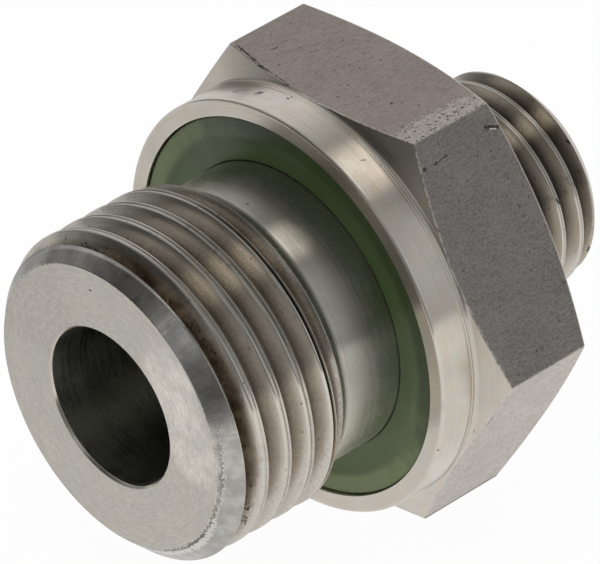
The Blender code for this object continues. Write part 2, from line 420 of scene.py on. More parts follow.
faceLook = dict(
    masks=dict(
        dashes=("turningMarks", dict(across=7.5, around=13.0, softness=0.2)),
        slow=("turningMarks", dict(across=1.3, around=2.0, softness=0.2)),
        chatter=("turningMarks", dict(across=4.5, around=24.0, softness=0.14)),
        cloud=("grain", dict(size=2.4, softness=0.22)),
        speck=("pits", dict(spacing=0.75, radius=0.06, share=0.22)),
    ),
    marks=dict(
        # A painted pool of light on part of the face
        paintedLightPatch=[(onRound(7.3, 0, 42), onRound(7.3, 0, 2), 2.5, 0.0)],
        prick=[dash(7.89, (0, 0), (97, 98), 0.06)],
    ),
    faced=(0.575, 0.54, 0.478, 1), paintedLightTone=(0.88, 0.83, 0.75, 1), base="faced", sockets=evenMetal,
    layers=[
        ("paintedLightTone", "paintedLightPatch", 0.9), ("cool", "cloud", 0.6), ("dull", "chatter"), ("dull", "slow", 0.15),
        ("dull", "dashes", 0.55), ("bright", "brighter", 0.6), ("darkMarkTone", "hole"),
    ],
    darkMarkTerms=[("speck", 0.45), ("prick",), ("darker", 0.85)], roughness=[(0.2,), ("dashes", 0.12)],
    relief=[("dashes", -1.0), ("hole", -3.0), ("chatter", -2.5)], depth=0.004,
    chatterShare=0.6, chatterRise=(105, 130), chatterFall=(178, 160),  # degrees
)


def faceSteel():
    material, tree, masks = begin("faceSteel", faceLook)
    angle = roundAxis(tree)[4]
    masks["chatter"] = times(tree, masks["chatter"], sweep(tree, angle, *faceLook["chatterRise"]),
                             sweep(tree, angle, *faceLook["chatterFall"]), faceLook["chatterShare"])
    masks.update(burr(tree))
    return finish(material, faceLook, masks)


studThreadLook = dict(
    rough=0.14, flank=0.03, tarnish=0.3, gritty=0.42, worn=0.55, crestSeamDark=0.7, crestShade=0.64,
    upper=(0.3, 0.95, 1.0, 1.0), lower=(-0.45, -0.85, 1.0, 0.62),
    rusty=(3.5, 2.1),  # stations over which the rust sets in
    nicks=[dash(9.9, (2.2, 2.4), (-22, -24), 0.1, 1.6), dash(10.0, (2.25, 2.5), (-28, -31), 0.12, 1.8)],
)
tubeThreadLook = dict(
    rough=0.15, flank=0.04, tarnish=0.65, gritty=0.45, worn=0.5, crestSeamDark=0.5, crestShade=0.8,
    upper=(-0.3, 0.35, 1.0, 0.6), lower=(-0.6, -0.95, 1.0, 0.9),
    paintedGlint=(63, 11, 2.2, 2.0),  # painted highlight: middle, half width and core in degrees, then how much brighter
    nicks=[
        dash(6.97, (30.38, 30.55), (23, 19.5), 0.08, 0.9), dash(6.7, (33.1, 33.3), (-19, -23), 0.12, 0.9),
        dash(6.8, (32.9, 33.1), (47, 44), 0.09, 0.9),
    ],
)


threadMasks = dict(  # ends of the ramps; heights are sines round the axis, seams and folds follow the wear
    crestLand=0.12, rootShares=(0.6, 0.95), lowerHalf=(0.3, -0.3), upperCrests=(0.3, 0.9),
    fold=(-0.08, -0.45, 0.0, 0.95), seam=(-0.03, -0.2), upperSeam=(-0.3, 0.2),
    patchy=(0.0, 0.8, 0.3, 1.0), upperFlecks=(0.3, 0.6, 0.0, 0.75), rustShares=(0.25, 0.6),
)


def threadSteel(name, thread, look):
    # Tarnished flanks with darker roots and worn crests, and brown coarse grain on the lower half. Painted
    # shade darkens the crests above the axis and the lower side, and on the tube's thread also the upper
    # side. The dark in a crest's seam follows the mesh's wear, which is below 0 there.
    recipe = dict(
        look, base="plain", sockets=turnedMetal, depth=0.0015, marks=dict(nick=look["nicks"]),
        masks=dict(
            fine=("turningMarks", dict(across=14.0, around=2.0)),
            blotch=("grain", dict(size=1.3, softness=0.2)),
            speck=("pits", dict(spacing=0.5, radius=0.08, share=0.35)),
            grit=("grain", dict(size=0.12, stretch=1.6, detail=4.0, softness=0.07)),
            coarse=("grain", dict(size=0.22, stretch=1.4, detail=5.0, softness=0.08)),
            wear=("edgeWear", dict(amount=0.6, patch=0.9, nicks=0.2)),
        ),
        layers=[
            ("brown", "groove", "tarnish"), ("dull", "blotch", 0.3), ("brown", "fine", 0.2),
            ("dark", "grit", "groove", "gritty"), ("brown", "coarse", "lowerHalf", "worn"),
            ("dark", "root", 0.5), ("times", "shade"), ("bright", "wear"),
        ],
        darkMarkTerms=[("speck", 0.6), ("nick",), ("fold",), ("seam", "patchy")],
        roughness=[("rough",), ("groove", "flank"), ("fine", 0.08)], relief=[("fine",), ("hole", -3.0)],
    )
    if "rusty" in look:  # the first groove behind the chamfer holds rusty dirt
        recipe["masks"].update(
            dirt=("pits", dict(spacing=0.28, radius=0.11, share=0.5)),
            fleck=("pits", dict(spacing=0.24, radius=0.1, share=0.35)),
        )
        recipe["layers"] += [("rust", "first", "rustShare"), ("ochre", "fleck", "first", "upperFlecks")]
        recipe["darkMarkTerms"].append(("dirt", "first", 0.9))
    recipe["layers"].append(("darkMarkTone", "hole"))

    material, tree, masks = begin(name, recipe)
    limits = threadMasks
    radius, station, _, sine, angle = roundAxis(tree)
    rootStart, rootEnd = (thread["crest"] - thread["depth"] * share for share in limits["rootShares"])
    masks["groove"] = ramp(tree, radius, thread["crest"] - limits["crestLand"], rootStart)
    masks["root"] = ramp(tree, radius, rootStart, rootEnd)
    masks["lowerHalf"] = ramp(tree, sine, *limits["lowerHalf"])
    # Painted shade: darker crests above the axis, and a darker upper or lower side as the look gives
    crests = times(tree, ramp(tree, sine, *limits["upperCrests"]), ramp(tree, masks["groove"], 0.5, 0.0))
    shade = times(tree, ramp(tree, sine, *look["upper"]),
                  ramp(tree, crests, 0.0, 1.0, 1.0, look["crestShade"]), ramp(tree, sine, *look["lower"]))
    if "paintedGlint" in look:  # painted highlight: the thread is brighter round one angle
        middle, half, core, gain = look["paintedGlint"]
        away = sums(tree, "ABSOLUTE", sums(tree, "SUBTRACT", angle, math.radians(middle)))
        shade = times(tree, shade, sweep(tree, away, half, core, 1.0, gain))
    masks["shade"] = shade
    sunk = put(tree, "ShaderNodeAttribute", attribute_name="wear").outputs["Fac"]
    masks["fold"] = ramp(tree, sunk, *limits["fold"])
    masks["seam"] = times(tree, ramp(tree, sunk, *limits["seam"], 0.0, look["crestSeamDark"]),
                          ramp(tree, sine, *limits["upperSeam"]))
    masks["patchy"] = ramp(tree, masks["blotch"], *limits["patchy"])
    if "rusty" in look:
        clear, blotched = limits["rustShares"]
        masks["first"] = times(tree, ramp(tree, station, *look["rusty"]), masks["groove"])
        masks["rustShare"] = sums(tree, "ADD", clear, times(tree, masks["blotch"], blotched))
        masks["upperFlecks"] = ramp(tree, sine, *limits["upperFlecks"])
    return finish(material, recipe, masks)


flatLook = dict(
    masks=dict(
        drawn=("grain", dict(size=0.08, stretch=7.0, softness=0.11)),
        mottle=("grain", dict(size=0.12, stretch=1.4, softness=0.1)),
        cloud=("grain", dict(size=2.2, stretch=1.4, softness=0.2)),
        scars=("grain", dict(size=0.16, stretch=3.5, softness=0.25)),
        speck=("pits", dict(spacing=0.45, radius=0.1, share=0.35)),
        packed=("pits", dict(spacing=0.2, radius=0.085, share=0.7)),
        wear=("edgeWear", dict(amount=0.8, patch=0.3, nicks=0.36)),
    ),
    marks=dict(
        scratches=[
            ((-4.9, 18.4, 13.5), (-3.4, 22.6, 13.5), 0.03, 1.2),
            ((-1.2, 19.6, 13.5), (-0.6, 22.4, 13.5), 0.03, 1.4),
            ((-6.2, 18.3, 13.5), (-5.4, 20.3, 13.5), 0.025, 1.2),
            ((11.95, 17.8, -6.3), (12.18, 18.35, -5.9), 0.07, 1.2),
            ((13.22, 19.0, -4.1), (13.31, 19.65, -3.95), 0.06, 1.0),
        ],
        dents=[
            ((-5.46, 18.8, 13.5), (-5.4, 19.15, 13.5), 0.06, 0.4),
            ((3.79, 19.66, 13.5), (3.79, 19.7, 13.5), 0.1, 0.3),
            ((-7.3, 17.7, 13.5), (-4.6, 17.15, 13.5), 0.09, 1.2),
            ((-4.6, 17.15, 13.5), (-0.9, 16.78, 13.5), 0.06, 1.2),
            ((8.6, 17.6, 12.1), (8.62, 17.72, 12.06), 0.12, 0.8),
            ((8.62, 18.45, 12.06), (8.6, 18.62, 12.1), 0.09, 0.7),
            ((8.6, 18.8, 12.1), (8.55, 19.5, 12.18), 0.045, 1.2),
            ((8.39, 22.8, 12.46), (8.56, 23.6, 12.16), 0.14, 0.6),
            ((13.6, 17.33, -3.45), (13.91, 17.52, -2.9), 0.075, 0.8),
        ],
        # A painted highlight: a short bright streak on a flat
        paintedGlints=[((8.5, 23.05, 12.27), (8.58, 23.45, 12.13), 0.055, 0.3)],
    ),
    bar=(0.43, 0.39, 0.36, 1), clouded=(0.34, 0.31, 0.285, 1), darkened=(0.25, 0.225, 0.205, 1),
    # The upper flat's tint is painted shade
    pale=(0.56, 0.52, 0.48, 1), upperShadeTint=(0.78, 0.735, 0.712, 1), base="bar", sockets=evenMetal,
    layers=[
        ("clouded", "cloud", 0.8), ("darkened", "drawn", 0.62), ("pale", "mottle", 0.55),
        ("upperShadeTint", "upper"), ("times", "flatLighting"), ("darkened", "scars", "lower", 0.55),
        ("pale", "paler"), ("bright", "wear"), ("darkMarkTone", "hole"), ("bright", "paintedGlints"),
    ],
    darkMarkTerms=[("speck", 0.6), ("packed", "band"), ("dents",), ("scratches", 0.4), ("darkEdge",)],
    roughness=[(0.42,), ("mottle", 0.1)], relief=[("drawn", -1.0), ("mottle",), ("hole", -3.0)], depth=0.004,
    corner=0.01, rightShade=0.6, lowerLight=1.28, scarred=(0.78, 0.95), bandShake=0.35, bandEdge=(6.4, 6.7),
    bandPaler=(0.35, 0.85), edgeAngles=(-58.95, -59.15), edgeDark=0.85, edgeEnd=-60.6,
)


def flatSteel():
    material, tree, masks = begin("flatSteel", flatLook)
    look = flatLook
    x = put(tree, "ShaderNodeSeparateXYZ", {0: onPart(tree)}).outputs[0]
    angle = roundAxis(tree)[4]
    sixth, soft = math.pi / 3, look["corner"]
    upper = times(tree, sums(tree, "GREATER_THAN", angle, sixth), sums(tree, "LESS_THAN", angle, sixth * 2))
    # Painted light and shade: the right flat is darker and the lower flat lighter
    right = times(tree, ramp(tree, angle, -soft, soft), ramp(tree, angle, sixth + soft, sixth - soft))
    lower = ramp(tree, angle, soft, -soft)
    masks["flatLighting"] = sums(tree, "ADD", ramp(tree, right, 0.0, 1.0, 1.0, look["rightShade"]),
                             ramp(tree, lower, 0.0, 1.0, 0.0, look["lowerLight"] - 1.0))
    masks["scars"] = ramp(tree, masks["scars"], *look["scarred"])
    # A paler, heavily pitted band runs along the upper flat's right edge
    shaken = times(tree, sums(tree, "ADD", masks["mottle"], masks["cloud"]), look["bandShake"])
    band = times(tree, ramp(tree, sums(tree, "ADD", x, shaken), *look["bandEdge"]), upper)
    # Painted shade: the lowest edge of the right side is dark
    darkEdge = times(tree, sweep(tree, angle, *look["edgeAngles"], 0.0, look["edgeDark"]),
                     sums(tree, "GREATER_THAN", angle, math.radians(look["edgeEnd"])))
    paler = times(tree, band, ramp(tree, masks["mottle"], 0.0, 1.0, *look["bandPaler"]))
    masks.update(upper=upper, lower=lower, band=band, paler=paler, darkEdge=darkEdge)
    return finish(material, look, masks)


rubberLook = dict(
    masks=dict(
        cloud=("grain", dict(size=1.6, softness=0.25)),
        fine=("turningMarks", dict(across=2.5, around=1.5)),
        dust=("pits", dict(spacing=0.5, radius=0.05, share=0.18)),
    ),
    green=(0.042, 0.072, 0.02, 1), lightGreen=(0.06, 0.096, 0.03, 1), innerGreen=(0.086, 0.142, 0.046, 1),
    paintedLightGreen=(0.26, 0.335, 0.14, 1), dusty=(0.03, 0.04, 0.022, 1), base="green",
    sockets={"Metallic": 0.0, "IOR": 1.42},
    layers=[
        ("lightGreen", "cloud", 0.7), ("lightGreen", "fine", 0.3), ("innerGreen", "inner"),
        ("paintedLightGreen", "paintedLight"), ("dusty", "dust", 0.6),
    ],
    roughness=[(0.27,), ("cloud", 0.1)], relief=[("cloud",), ("dust", -1.0)], depth=0.004,
    innerEdge=(11.5, 10.7), shake=0.25, below=(-0.1, -0.75, 0.0, 1.0), left=(-0.25, -0.9, 0.0, 0.85),
    innerPaintedLight=0.15,
)


def sealRubber():
    look = rubberLook
    material, tree, masks = begin("sealRubber", look)
    radius, _, cosine, sine, _ = roundAxis(tree)
    masks["inner"] = ramp(tree, radius, *look["innerEdge"])
    # Painted light: the lower and left part of the ring is lighter, most of it on the outer half
    shaken = times(tree, sums(tree, "SUBTRACT", masks["cloud"], 0.5), look["shake"])
    paintedLight = sums(tree, "MAXIMUM", ramp(tree, sums(tree, "ADD", sine, shaken), *look["below"]),
                 ramp(tree, sums(tree, "ADD", cosine, shaken), *look["left"]))
    masks["paintedLight"] = times(tree, paintedLight, ramp(tree, masks["inner"], 0.0, 1.0, 1.0, look["innerPaintedLight"]))
    return finish(material, look, masks)


# Turned surfaces

def sectionAngles(step, roundingExtras):
    # Angles of the sections round the axis: every step degrees, and closer ones beside the hexagon's corners
    even = np.arange(0, 360 + step / 2, step)
    extras = np.array(roundingExtras)
    corners = np.arange(0, 361, 60)[:, None]
    close = (corners + np.concatenate([-extras, extras])).ravel()
    close = close[(close > 0) & (close < 360)]
    return np.radians(np.unique(np.concatenate([even, close])))


def cornerRun(corners, columns, steps=4, spare=0.08, filletShare=0.4, spareShare=0.48, wearStart=0.15):
    # Rows of a section through its corners, each (radius, station, fillet, zone). A fillet swaps the corner
    # for a quadratic curve between the points one fillet away on either side, with a spare row past both ends
    # so that the flat stretches beside it stay flat. Both keep to a share of the stretch. Wear is highest in
    # the middle of such a curve and 0 at the spare rows.
    points = [np.stack([np.broadcast_to(np.asarray(value, float), columns) for value in corner[:2]])
              for corner in corners]
    rows, wear, zones = [points[0]], [0.0], [corners[0][3]]
    for index in range(1, len(corners) - 1):
        radius, station, fillet, zone = corners[index]
        point = points[index]
        if not fillet:
            rows.append(point)
            wear.append(0.0)
            zones.append(zone)
            continue
        back = points[index - 1] - point
        ahead = points[index + 1] - point
        backLength = np.maximum(np.hypot(*back), 1e-9)
        aheadLength = np.maximum(np.hypot(*ahead), 1e-9)
        start = point + back * np.minimum(fillet / backLength, filletShare)
        end = point + ahead * np.minimum(fillet / aheadLength, filletShare)
        rows.append(point + back * np.minimum((fillet + spare) / backLength, spareShare))
        wear.append(0.0)
        for share in np.linspace(0, 1, steps + 1):
            rows.append(start * (1 - share) ** 2 + point * 2 * share * (1 - share) + end * share ** 2)
            wear.append(math.sin(math.pi * (wearStart + (1 - 2 * wearStart) * share)))
        rows.append(point + ahead * np.minimum((fillet + spare) / aheadLength, spareShare))
        wear.append(0.0)
        zones += [corners[index - 1][3]] + [zone] * (steps + 2)
    rows.append(points[-1])
    wear.append(0.0)
    zones.append(corners[-1][3])
    rows = np.array(rows)
    wear = np.broadcast_to(np.array(wear)[:, None], rows[:, 0].shape)
    return dict(radius=rows[:, 0], station=rows[:, 1], wear=wear, zones=zones)


def threadProfile(thread, steps=3, roundingShare=0.9):
    # Offset from the crest's middle and depth below the crest, over one pitch. The ridge is a trapezoid whose
    # crest and root corners are quadratic curves.
    half, depth = thread["crestWidth"] / 2, thread["depth"]
    run = depth * math.tan(thread["flankAngle"])
    corners = np.array([(0, 0), (half, 0), (half + run, depth), (thread["pitch"] / 2, depth)])
    points = [corners[0]]
    flank = []
    for index, rounding in ((1, thread["crestRounding"]), (2, thread["rootRounding"])):
        back = corners[index - 1] - corners[index]
        ahead = corners[index + 1] - corners[index]
        start = corners[index] + back * min(rounding / np.hypot(*back), roundingShare)
        end = corners[index] + ahead * min(rounding / np.hypot(*ahead), roundingShare)
        for share in np.linspace(0, 1, steps + 1):
            left = 1 - share
            points.append(start * left ** 2 + corners[index] * 2 * share * left + end * share ** 2)
        flank.append(len(points) - 1 if index == 1 else len(points) - 1 - steps)
    points.append(corners[3])
    right = np.array(points)
    left = right[-2:0:-1] * (-1, 1) + (thread["pitch"], 0)
    whole = np.concatenate([right, left])
    last = 2 * len(right) - 2
    return whole, [tuple(flank), (last - flank[1], last - flank[0])]


def crestSeam(thread, phase, station):
    # Depth of the groove in a crest: 0 at both lips and deepest between them, growing toward the run-out
    offset = (phase + thread["pitch"] / 2) % thread["pitch"] - thread["pitch"] / 2
    depth = np.interp(station, thread["seamStations"], thread["seamDepths"])
    return depth * np.interp(offset, thread["seamOffsets"], (0, 1, 0))


crestFade = 0.12  # millimetres over which the wear fades beside a crest
seamScale = 0.3  # depth of seam in millimetres at which the wear is -1


def threadBlock(thread, blank, angles):
    # Rows over a threaded stretch: at every angle the stations of the ridge's own points, moved along by the
    # helix, and of the turned blank's corners, in order. The radius is the smaller of thread and blank, and
    # each flank has a point where it meets the blank.
    profile, flanks = threadProfile(thread)
    pitch = thread["pitch"]
    blankStations, blankRadii = blank
    start, end = blankStations[0], blankStations[-1]

    def phase(station):
        return (station - thread["station"] + pitch * angles / (2 * np.pi)) % pitch

    def threadRadius(station):
        offsets = np.append(profile[:, 0], pitch)
        depths = np.append(profile[:, 1], 0)
        shallow = np.interp(station, thread["startStations"], thread["startDepths"])
        return thread["crest"] - np.interp(phase(station), offsets, depths) * shallow

    def blankRadius(station):
        return np.interp(station, blankStations, blankRadii)

    firstTurn = math.floor((start - thread["station"]) / pitch) - 1
    lastTurn = math.ceil((end - thread["station"]) / pitch) + 1
    turns = np.arange(firstTurn, lastTurn + 1)
    helix = thread["station"] + turns[:, None, None] * pitch - pitch * angles / (2 * np.pi)
    ridge = np.clip(helix + profile[:, 0][:, None], start, end)
    seam = np.clip(helix + np.array(thread["seamOffsets"])[:, None], start, end)
    crossings = []
    for first, second in flanks:
        low, high = ridge[:, first], ridge[:, second]
        lowGap = threadRadius(low) - blankRadius(low)
        highGap = threadRadius(high) - blankRadius(high)
        spread = np.where(np.abs(lowGap - highGap) < 1e-9, 1e-9, lowGap - highGap)
        crossings.append(low + (high - low) * np.clip(lowGap / spread, 0, 1))
    rings = np.broadcast_to(blankStations[:, None], (len(blankStations), len(angles)))
    ridge, seam = (rows.reshape(-1, len(angles)) for rows in (ridge, seam))
    station = np.sort(np.concatenate([ridge, seam, *crossings, rings]), axis=0)
    onThread = threadRadius(station)
    onBlank = blankRadius(station)
    ridged = onThread <= onBlank + 1e-6
    sunk = crestSeam(thread, phase(station), station) * ridged
    radius = np.minimum(onThread, onBlank) - sunk
    fromCrest = np.minimum(phase(station), pitch - phase(station))
    wear = np.exp(-((fromCrest - thread["crestWidth"] / 2) / crestFade) ** 2) * ridged
    wear = np.where(sunk > 0.01, -sunk / seamScale, wear)  # below 0 in the seam, which is darker
    turned = (onThread >= onBlank - 1e-6) & (onBlank < thread["crest"] - 0.01)
    return dict(radius=radius, station=station, wear=wear, turned=turned, end=threadRadius)


bodySizes = dict(  # millimetres and degrees; stations count from the stud's end face
    columnStep=2.0, cornerExtras=(0.1, 0.2, 0.29, 0.5), cornerRounding=0.15,
    boreRadius=5.1, boreDepth=20.0, boreEdge=0.15, drillAngle=59.0,
    studChamfer=1.28, neckStart=9.95, neckFillet=0.35, neckJoint=0.9, neckBelowRoot=0.02,
    grooveWidth=3.05, grooveDepth=1.6, rimWidth=1.1, rimEdge=0.18, studLength=14.0, collarLength=3.6,
    shoulderSlope=22.0, shoulderFillet=0.3, turningRidges=(0.28, 0.08), ridgeHeight=0.04,
    ridgeRun=(-0.05, 0.04),
    hexEdge=5.95, rearSlope=20.0, rearInset=0.1,
    undercutLength=1.1, undercutDrop=0.1, endChamfer=0.85, endLand=1.15,
    coneDepth=4.47, coneAngle=12.0, stopDepth=7.0, stopWidth=1.05,
    fineEdge=0.04, innerEdge=0.05, edge=0.06, softEdge=0.1, joint=0.15,
)
studThread = dict(crest=10.4775, depth=1.162, pitch=1.814, crestWidth=0.45, flankAngle=math.radians(27.5),
                  station=8.15, crestRounding=0.1, rootRounding=0.1,
                  seamOffsets=(-0.12, 0.05, 0.12), seamStations=(1, 5, 7.75, 7.98, 8.45, 8.6),
                  seamDepths=(0.03, 0.06, 0.08, 0.3, 0.3, 0.12),
                  startStations=(0, 1.28), startDepths=(0.35, 1.0))
tubeThread = dict(crest=7.0, depth=0.92, pitch=1.5, crestWidth=0.3, flankAngle=math.radians(30),
                  station=30.45, crestRounding=0.08, rootRounding=0.12,
                  seamOffsets=(-0.07, 0.03, 0.07), seamStations=(25, 34), seamDepths=(0.03, 0.03),
                  startStations=(20, 40), startDepths=(1.0, 1.0))


def hexagonReach(angles, rounding):
    # Distance from the axis to a hexagon whose corners are arcs of the rounding radius, touching both flats
    fromCorner = (angles + np.pi / 6) % (np.pi / 3) - np.pi / 6
    centre = (halfFlats - rounding) / math.cos(math.pi / 6)
    touch = math.atan2(rounding * 0.5, centre + rounding * math.cos(math.pi / 6))
    flat = halfFlats / np.cos(np.pi / 6 - np.abs(fromCorner))
    inside = np.clip(rounding ** 2 - (centre * np.sin(fromCorner)) ** 2, 0, None)
    return np.where(np.abs(fromCorner) < touch, centre * np.cos(fromCorner) + np.sqrt(inside), flat)


def shoulderRows(angles, reach, collarRadius, hexFront, sizes):
    # Circular fillet from the collar into the cone of the shoulder, then the cone out to the flats
    slope = math.radians(sizes["shoulderSlope"])
    fillet = sizes["shoulderFillet"]
    touchRadius = collarRadius + fillet * (1 - math.sin(slope))
    touchStation = hexFront - (cornerRadius - touchRadius) * math.tan(slope)
    centreRadius = collarRadius + fillet
    centreStation = touchStation - fillet * math.cos(slope)
    limited = np.arccos(np.clip((centreRadius - reach) / fillet, -1, 1))
    swing = np.where(reach < touchRadius, limited, math.pi / 2 - slope)
    corners = []
    for before in sizes["turningRidges"]:
        rise, fall = sizes["ridgeRun"]
        for offset, height in ((rise, 0), (0, sizes["ridgeHeight"]), (fall, 0)):
            corners.append((collarRadius + height, centreStation - before + offset, 0, "turned"))
    for share in np.linspace(0, 1, 6)[:-1]:
        along, across = fillet * np.sin(swing * share), fillet * np.cos(swing * share)
        corners.append((centreRadius - across, centreStation + along, 0, "turned"))
    coneStation = hexFront - (cornerRadius - reach) * math.tan(slope)
    arcStation = centreStation + fillet * np.sin(swing)
    for share in (0, 0.5):
        filletRadius = centreRadius - fillet * np.cos(swing)
        onCone = filletRadius + (reach - filletRadius) * share
        station = arcStation + (np.where(reach < touchRadius, arcStation, coneStation) - arcStation) * share
        corners.append((onCone, station, 0, "turned"))
    corners.append((reach, np.where(reach < touchRadius, arcStation, coneStation), sizes["edge"], "flat"))
    return corners


def bodySection(angles):
    # The body's closed section as rows over the angles: from the stud bore out over the stud's thread, the
    # collar, the hexagon and the tube end's thread, then back in through the cone and the bores
    sizes = bodySizes
    columns = len(angles)
    neckRadius = studThread["crest"] - studThread["depth"] - sizes["neckBelowRoot"]
    grooveRadius = neckRadius + sizes["grooveWidth"]
    collarRadius = grooveRadius + sizes["rimWidth"]
    hexFront = sizes["studLength"] + sizes["collarLength"]
    hexRear = hexFront + sizes["hexEdge"]
    rearRadius = halfFlats - sizes["rearInset"]
    rearFace = hexRear + (cornerRadius - rearRadius) * math.tan(math.radians(sizes["rearSlope"]))
    tubeEnd = 2 * halfLength
    mouthRadius = tubeThread["crest"] - sizes["endChamfer"] - sizes["endLand"]
    socketRadius = mouthRadius - sizes["coneDepth"] * math.tan(math.radians(sizes["coneAngle"]))
    tubeBore = socketRadius - sizes["stopWidth"]
    undercutRadius = tubeThread["crest"] - tubeThread["depth"] - sizes["undercutDrop"]
    undercutEnd = rearFace + sizes["undercutLength"]
    faceRadius = studThread["crest"] - sizes["studChamfer"]
    grooveFloor = sizes["studLength"] + sizes["grooveDepth"]
    midBore = sizes["boreDepth"] / 2
    joint = sizes["joint"]

    front = cornerRun([
        (sizes["boreRadius"], midBore, 0, "bore"),
        (sizes["boreRadius"], sizes["boreEdge"], sizes["fineEdge"], "turned"),
        (sizes["boreRadius"] + sizes["boreEdge"], 0, sizes["fineEdge"], "face"),
        (faceRadius, 0, sizes["edge"], "chamfer"),
        (faceRadius + joint, joint, 0, "thread"),
    ], columns)

    studEnd = sizes["neckStart"] - (studThread["crest"] - neckRadius)
    blank = cornerRun([
        (faceRadius + joint, joint, 0, ""),
        (studThread["crest"], sizes["studChamfer"], sizes["innerEdge"], ""),
        (studThread["crest"], studEnd, sizes["innerEdge"], ""),
        (neckRadius, sizes["neckStart"], sizes["neckFillet"], ""),
        (neckRadius, sizes["neckStart"] + sizes["neckJoint"], 0, ""),
    ], 1)
    stud = threadBlock(studThread, (blank["station"][:, 0], blank["radius"][:, 0]), angles)
    stud.update(blank="chamfer", ridge="thread", root="neck", half=sizes["studLength"] / 2)

    reach = hexagonReach(angles, sizes["cornerRounding"])
    rearStation = hexRear + (cornerRadius - reach) * math.tan(math.radians(sizes["rearSlope"]))
    middle = cornerRun([
        (neckRadius, sizes["neckStart"] + sizes["neckJoint"], 0, "neck"),
        (neckRadius, grooveFloor, sizes["innerEdge"], "neck"),
        (grooveRadius, grooveFloor, sizes["innerEdge"], "neck"),
        (grooveRadius, sizes["studLength"], sizes["edge"], "turned"),
        (collarRadius, sizes["studLength"], sizes["rimEdge"], "turned"),
        *shoulderRows(angles, reach, collarRadius, hexFront, sizes),
        (reach, rearStation, sizes["edge"], "turned"),
        (rearRadius, rearFace, sizes["softEdge"], "turned"),
        (undercutRadius, rearFace, sizes["softEdge"], "turned"),
        (undercutRadius, undercutEnd - joint, 0, "thread"),
    ], columns)

    tubeStart = undercutEnd + tubeThread["crest"] - undercutRadius
    blank = cornerRun([
        (undercutRadius, undercutEnd - joint, 0, ""),
        (undercutRadius, undercutEnd, sizes["softEdge"], ""),
        (tubeThread["crest"], tubeStart, sizes["innerEdge"], ""),
        (tubeThread["crest"], tubeEnd - sizes["endChamfer"], sizes["innerEdge"], ""),
        (tubeThread["crest"] - sizes["endChamfer"] + joint, tubeEnd - joint, 0, ""),
    ], 1)
    tube = threadBlock(tubeThread, (blank["station"][:, 0], blank["radius"][:, 0]), angles)
    tube.update(blank="turned", ridge="tubeThread", root="turned", half=tubeEnd)

    drillRun = (sizes["boreRadius"] - tubeBore) / math.tan(math.radians(sizes["drillAngle"]))
    endRadius = np.minimum(tubeThread["crest"] - sizes["endChamfer"], tube["end"](np.full(columns, tubeEnd)))
    back = cornerRun([
        (tube["radius"][-1], tubeEnd - joint, 0, "turned"),
        (endRadius, tubeEnd, sizes["edge"], "face"),
        (mouthRadius, tubeEnd, sizes["edge"], "bore"),
        (socketRadius, tubeEnd - sizes["coneDepth"], sizes["softEdge"], "bore"),
        (socketRadius, tubeEnd - sizes["stopDepth"], sizes["edge"], "bore"),
        (tubeBore, tubeEnd - sizes["stopDepth"], sizes["softEdge"], "bore"),
        (tubeBore, sizes["boreDepth"] + drillRun, sizes["edge"], "bore"),
        (sizes["boreRadius"], sizes["boreDepth"], sizes["edge"], "bore"),
        (sizes["boreRadius"], midBore, 0, "bore"),
    ], columns)

    parts = [front, stud, middle, tube, back]
    radius = np.concatenate([part["radius"] for part in parts])
    station = np.concatenate([part["station"] for part in parts])
    wear = np.concatenate([part["wear"] for part in parts])
    zones = []
    for part in parts:
        rows = len(part["radius"])
        if "zones" in part:
            numbers = np.array([bodyZones.index(zone) for zone in part["zones"]])
            zones.append(np.broadcast_to(numbers[:, None], (rows, columns)))
        else:
            ahead = np.roll(part["turned"], -1, axis=0)
            whole = part["turned"] & ahead
            whole &= np.roll(whole, -1, axis=1)
            blank, ridge, root = (bodyZones.index(part[key]) for key in ("blank", "ridge", "root"))
            zone = np.where(whole, blank, ridge)
            zones.append(np.where(whole & (part["station"] > part["half"]), root, zone))
    return radius, station, wear, np.concatenate(zones)


def turnedPiece(name, radius, station, angles, wear, zone, materials):
    # Carries a closed section round the axis: x is r cos a, y is the station less half the length, and z is
    # the axis's height plus r sin a
    rows, columns = radius.shape
    points = np.stack([
        radius * np.cos(angles),
        station - halfLength,
        halfFlats + radius * np.sin(angles),
    ], axis=-1).reshape(-1, 3) * mm
    grid = np.arange(rows * columns).reshape(rows, columns)
    ahead = np.roll(grid, -1, axis=0)
    quads = np.stack([grid[:, :-1], ahead[:, :-1], ahead[:, 1:], grid[:, 1:]], axis=-1).reshape(-1, 4)

    mesh = bpy.data.meshes.new(name)
    mesh.from_pydata(points, [], quads.tolist())
    mesh.polygons.foreach_set("material_index", zone[:, :-1].ravel().astype(np.int32))
    worn = mesh.attributes.new("wear", "FLOAT", "POINT")
    worn.data.foreach_set("value", np.asarray(wear, np.float32).ravel())

    # Points that fall together, at the seam and at the ends of the threads, become one
    work = bmesh.new()
    work.from_mesh(mesh)
    bmesh.ops.remove_doubles(work, verts=work.verts, dist=mergeDistance)
    work.to_mesh(mesh)
    work.free()
    shadeByArea(mesh)
    for material in materials:
        mesh.materials.append(material)
    piece = bpy.data.objects.new(name, mesh)
    bpy.context.scene.collection.objects.link(piece)
    print(name, "has", sum(len(face.vertices) - 2 for face in mesh.polygons), "triangles")
    return piece


